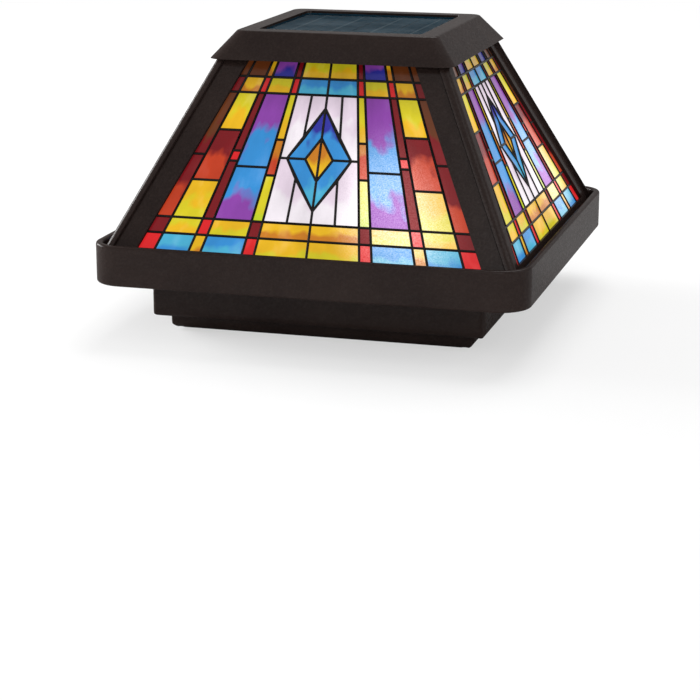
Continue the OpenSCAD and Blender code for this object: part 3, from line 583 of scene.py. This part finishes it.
def stainedFinish():
    # two hues that run into each other in a pane, with a painted glow as if lit from behind, a painted pool
    # of light at one spot and painted shade under the cap
    look = {"wisps": (6, 4, 1), "clouds": (2.6, 2.2, 1), "blots": (7, 7, 1), "specks": 2600,
            "blotted": 1.5, "runFrom": 0.34, "runTo": 0.58, "lit": (0.43, 0.53), "cloudy": (0.84, 1.0),
            "hot": (0.54, 0.28), "hotSize": 0.46, "sparkle": (0.25, 0.5),
            "capShadowFrom": 0.72, "capShadowTo": 0.90, "capShadowLevel": 0.5,
            "glowWhite": (0.6, 0.6, 0.57, 1), "glowWhiteWisps": 0.1, "glowWhiteSpecks": (0.3, 0.85), "glowWhiteOnDeep": 0.1,
            "unlit": (0.18, 0.26), "glow": 1.8, "rough": (0.16, 0.28), "gloss": 0.2, "deep": 0.00005}
    f = Finish("stainedPanes")
    hue = f.node("ShaderNodeVertexColor", {"layer_name": "paneHue"}, {})
    twin = f.node("ShaderNodeVertexColor", {"layer_name": "paneTwin"}, {})
    within = f.axes(f.node("ShaderNodeUVMap", {"uv_map": "paneOwn"}, {}))[1]     # 0 to 1 up its own pane
    uv = f.node("ShaderNodeUVMap", {"uv_map": "paneUV"}, {})                     # over the whole sheet
    s, t, unused = f.axes(uv)
    wisps = f.noise(f.stretch(uv, look["wisps"]), 1.0, 3, 0.5)
    cloud = f.noise(f.stretch(uv, look["clouds"]), 1.0, 3)
    blot = f.noise(f.stretch(uv, look["blots"]), 1.0, 2, 0.5)
    specks = f.noise(f.place(), look["specks"], 2)
    run = f.reach(within + (blot - 0.5) * look["blotted"], look["runFrom"], look["runTo"])
    paint = f.blend(hue, twin, run)
    # painted pool of light: the glow is strongest around one spot and fades outwards
    across = (s - look["hot"][0]) / look["hotSize"]
    along = (t - look["hot"][1]) / look["hotSize"]
    near = f.reach(across * across + along * along, 0.0, 1.0, 1.0, 0.0)
    glow = near * near
    # painted shadow of the cap and its tub: the top of the panes is darker
    paintedCapShadow = f.reach(t, look["capShadowFrom"], look["capShadowTo"], 1.0, look["capShadowLevel"])
    level = f.reach(wisps, 0.3, 0.72, *look["lit"]) * f.even(cloud, *look["cloudy"])
    # painted sparkle: bright specks added to the glow near that spot
    level = (level + glow * f.reach(specks, 0.3, 0.6, *look["sparkle"])) * paintedCapShadow
    # painted glow: a deep colour keeps its colour in the glow, a pale one turns nearly white where the glow
    # washes it out
    bright = glow * f.reach(specks, 0.38, 0.64, *look["glowWhiteSpecks"])
    glowWhite = f.reach(wisps, 0.56, 0.8, 0.0, look["glowWhiteWisps"]) + bright
    pale = f.reach(f.node("ShaderNodeRGBToBW", {}, {0: paint}), 0.05, 0.35, look["glowWhiteOnDeep"], 1.0)
    # painted light: the emission colour stands in for the lamp inside shining through the panes
    lit = f.blend(f.blend(black, paint, level), look["glowWhite"], glowWhite * pale * paintedCapShadow)
    return f.surface({"Base Color": f.blend(black, paint, f.even(wisps, *look["unlit"])),
                      "Roughness": f.even(cloud, *look["rough"]), "Emission Color": lit,
                      "Emission Strength": look["glow"], "Specular IOR Level": look["gloss"],
                      "Normal": f.bump(wisps * 0.6 + specks * 0.4, look["deep"])})


def paneMesh():
    # each pane is a thin closed prism on the sheet; the sheet behind keeps the CAD's outline
    mesh = bmesh.new()
    hueLayer = mesh.loops.layers.float_color.new("paneHue")
    twinLayer = mesh.loops.layers.float_color.new("paneTwin")
    uvLayer = mesh.loops.layers.uv.new("paneUV")
    ownLayer = mesh.loops.layers.uv.new("paneOwn")

    def prism(hue, twin, corners, low, high):
        foot = min(t for s, t in corners)
        height = max(t for s, t in corners) - foot
        lower = [mesh.verts.new(onSheet(s, t, low * mm)) for s, t in corners]
        upper = [mesh.verts.new(onSheet(s, t, high * mm)) for s, t in corners]
        faces = [(upper, corners), (lower[::-1], corners[::-1])]
        for i in range(len(corners)):
            j = (i + 1) % len(corners)
            faces.append(([lower[i], lower[j], upper[j], upper[i]], [corners[k] for k in (i, j, j, i)]))
        for ring, places in faces:
            for loop, (s, t) in zip(mesh.faces.new(ring).loops, places):
                loop[hueLayer] = hues[hue]
                loop[twinLayer] = hues[twin]
                loop[uvLayer].uv = (s, t)
                loop[ownLayer].uv = (0, (t - foot) / height)

    prism("gold", "amber", [(-1, 0), (1, 0), (1, 1), (-1, 1)], -panelSet["sheetThick"], 0)
    for hue, twin, corners in panes():
        prism(hue, twin, corners, -panelSet["paneSunk"], panelSet["paneLift"])
    bmesh.ops.recalc_face_normals(mesh, faces=mesh.faces)
    result = bpy.data.meshes.new("panes")
    mesh.to_mesh(result)
    mesh.free()
    return result


def leadMaker(material):
    # a round lead along every line of the pattern
    g = Maker("leadLines", ["Lead Wide"])
    curve = g.node("GeometryNodeMeshToCurve", {}, {"Mesh": g.given("Geometry")})
    ring = g.node("GeometryNodeCurvePrimitiveCircle", {}, {"Resolution": panelSet["leadSides"],
                                                           "Radius": g.given("Lead Wide") * 0.5})
    tube = g.node("GeometryNodeCurveToMesh", {}, {"Curve": curve, "Profile Curve": ring, "Fill Caps": True})
    g.finish(tube, material)
    return g


def leadLines():
    # each line once; every one is a loose edge, so that it becomes a straight lead of its own
    seen, points, edges = set(), [], []
    for hue, twin, corners in panes():
        for i, a in enumerate(corners):
            b = corners[(i + 1) % len(corners)]
            key = tuple(sorted(tuple(round(c, 4) for c in end) for end in (a, b)))
            if key in seen or abs(a[0]) == abs(b[0]) == 1 or a[1] == b[1] in (0.0, 1.0):
                continue
            seen.add(key)
            edges.append((len(points), len(points) + 1))
            points += [onSheet(*end, panelSet["paneLift"] * mm) for end in (a, b)]
    return points, edges


stainedMaterial = stainedFinish()
leads = leadMaker(plainPlastic("printedLead", rgb(15, 13, 13), rgb(27, 24, 23), grain=2400, rough=(0.3, 0.42),
                               gloss=0.12))
for quarter, sideName in enumerate(sides):
    spin = Matrix.Rotation(math.radians(90 * quarter), 4, "Z")
    glass = paneMesh()
    glass.transform(spin)
    glass.materials.append(stainedMaterial)
    link(f"stainedPanes_{sideName}", glass, "base", "stained_acrylic", f"stained_panel_{sideName}")
    lines = leads.make(f"leads_{sideName}", *leadLines(), {"Lead Wide": panelSet["leadWide"] * mm})
    lines.transform(spin)
    lines.shade_smooth()
    link(f"leads_{sideName}", lines, "base", "stained_acrylic")
print("stained panels:", len(panes()), "panes on each side")


# the screws, with cross recesses and threads: sizes in mm
screwSizes = ["Head Wide", "Head High", "Shank Wide", "Length", "Recess"]
caseScrew = {"Head Wide": 5.4, "Head High": 1.8, "Shank Wide": 3.0, "Recess": 0.9}
boardScrew = {"Head Wide": 3.8, "Head High": 1.2, "Shank Wide": 2.0, "Recess": 0.6}
screwForm = {       # radii and slots as shares of the head's or the shank's width
    "headTop": 0.5, "headBottom": 0.4, "headSides": 32, "slotLong": 0.56, "slotThin": 0.13,
    "shankTop": 0.36, "shankBottom": 0.42, "shankSides": 16, "ridgeOut": 0.41, "ridge": 0.085,
    "ridgeSides": 4, "turnSteps": 14, "pitch": 0.9,
}


def screwMaker(material):
    # a screw on every point, head down
    g = Maker("screwSet", screwSizes)
    wide, high, shank, length, recess = [g.given(name) for name in screwSizes]
    form = screwForm

    def moved(geometry, z):
        by = g.node("ShaderNodeCombineXYZ", {}, {"Z": z})
        return g.node("GeometryNodeTransform", {}, {"Geometry": geometry, "Translation": by})

    def cone(top, bottom, deep, sidesAround):
        return g.node("GeometryNodeMeshCone", {}, {"Vertices": sidesAround, "Radius Top": top,
                                                   "Radius Bottom": bottom, "Depth": deep})

    def slot(alongX, alongY):
        size = g.node("ShaderNodeCombineXYZ", {}, {"X": alongX, "Y": alongY, "Z": recess * 2.0})
        return moved(g.node("GeometryNodeMeshCube", {}, {"Size": size}), -high)

    head = moved(cone(wide * form["headTop"], wide * form["headBottom"], high, form["headSides"]), -high)
    body = cone(shank * form["shankTop"], shank * form["shankBottom"], length, form["shankSides"])
    long, thin = wide * form["slotLong"], wide * form["slotThin"]
    carved = g.node("GeometryNodeMeshBoolean", {"operation": "DIFFERENCE"},
                    {"Mesh 1": head, "Mesh 2": [slot(long, thin), slot(thin, long)]})
    out = shank * form["ridgeOut"]
    helix = g.node("GeometryNodeCurveSpiral", {}, {
        "Resolution": form["turnSteps"], "Rotations": length / (form["pitch"] * mm),
        "Start Radius": out, "End Radius": out, "Height": length})
    ring = g.node("GeometryNodeCurvePrimitiveCircle", {}, {"Resolution": form["ridgeSides"],
                                                           "Radius": shank * form["ridge"]})
    ridge = g.node("GeometryNodeCurveToMesh", {}, {"Curve": helix, "Profile Curve": ring, "Fill Caps": True})
    whole = g.node("GeometryNodeJoinGeometry", {}, {"Geometry": [carved, body, ridge]})
    spread = g.node("GeometryNodeInstanceOnPoints", {}, {"Points": g.given("Geometry"), "Instance": whole})
    g.finish(spread, material)
    return g


screws = screwMaker(steel)


def placesOf(nodeName):
    # the middle of each separate screw in a node's mesh
    copy = mergedCopy(nodeName)
    left, middles = set(copy.verts), []
    while left:
        queue, island = [left.pop()], []
        while queue:
            vertex = queue.pop()
            island.append(vertex.co)
            beside = {edge.other_vert(vertex) for edge in vertex.link_edges} & left
            left -= beside
            queue.extend(beside)
        middles.append([(min(p[i] for p in island) + max(p[i] for p in island)) / 2 for i in range(2)])
    copy.free()
    return sorted(middles, key=lambda p: (round(p[0], 5), round(p[1], 5)))


def screwsFor(nodeName, screw, headUp=False):
    places = placesOf(nodeName)
    low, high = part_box(nodeName)
    sizes = {name: size * mm for name, size in screw.items()}
    headHigh = sizes["Head High"]
    sizes["Length"] = high.z - low.z - headHigh
    points = [(x, -y if headUp else y, 0) for x, y in places]       # turning a screw over swaps y for -y
    made = screws.make(nodeName + "Dressed", points, [], sizes)
    over = Matrix.Rotation(math.pi if headUp else 0, 4, "X")
    seat = high.z - headHigh if headUp else low.z + headHigh
    made.transform(Matrix.Translation((0, 0, seat)) @ over)
    made.shade_smooth()
    made.set_sharp_from_angle(angle=math.radians(40))
    link(nodeName + "Dressed", made, bodyOf[nodeName], "steel", nodeName)
    print(nodeName, "screws:", len(places))


screwsFor("collar_screws", caseScrew)
screwsFor("cage_screws", caseScrew)
screwsFor("cap_screws", caseScrew)
screwsFor("board_screws", boardScrew, True)
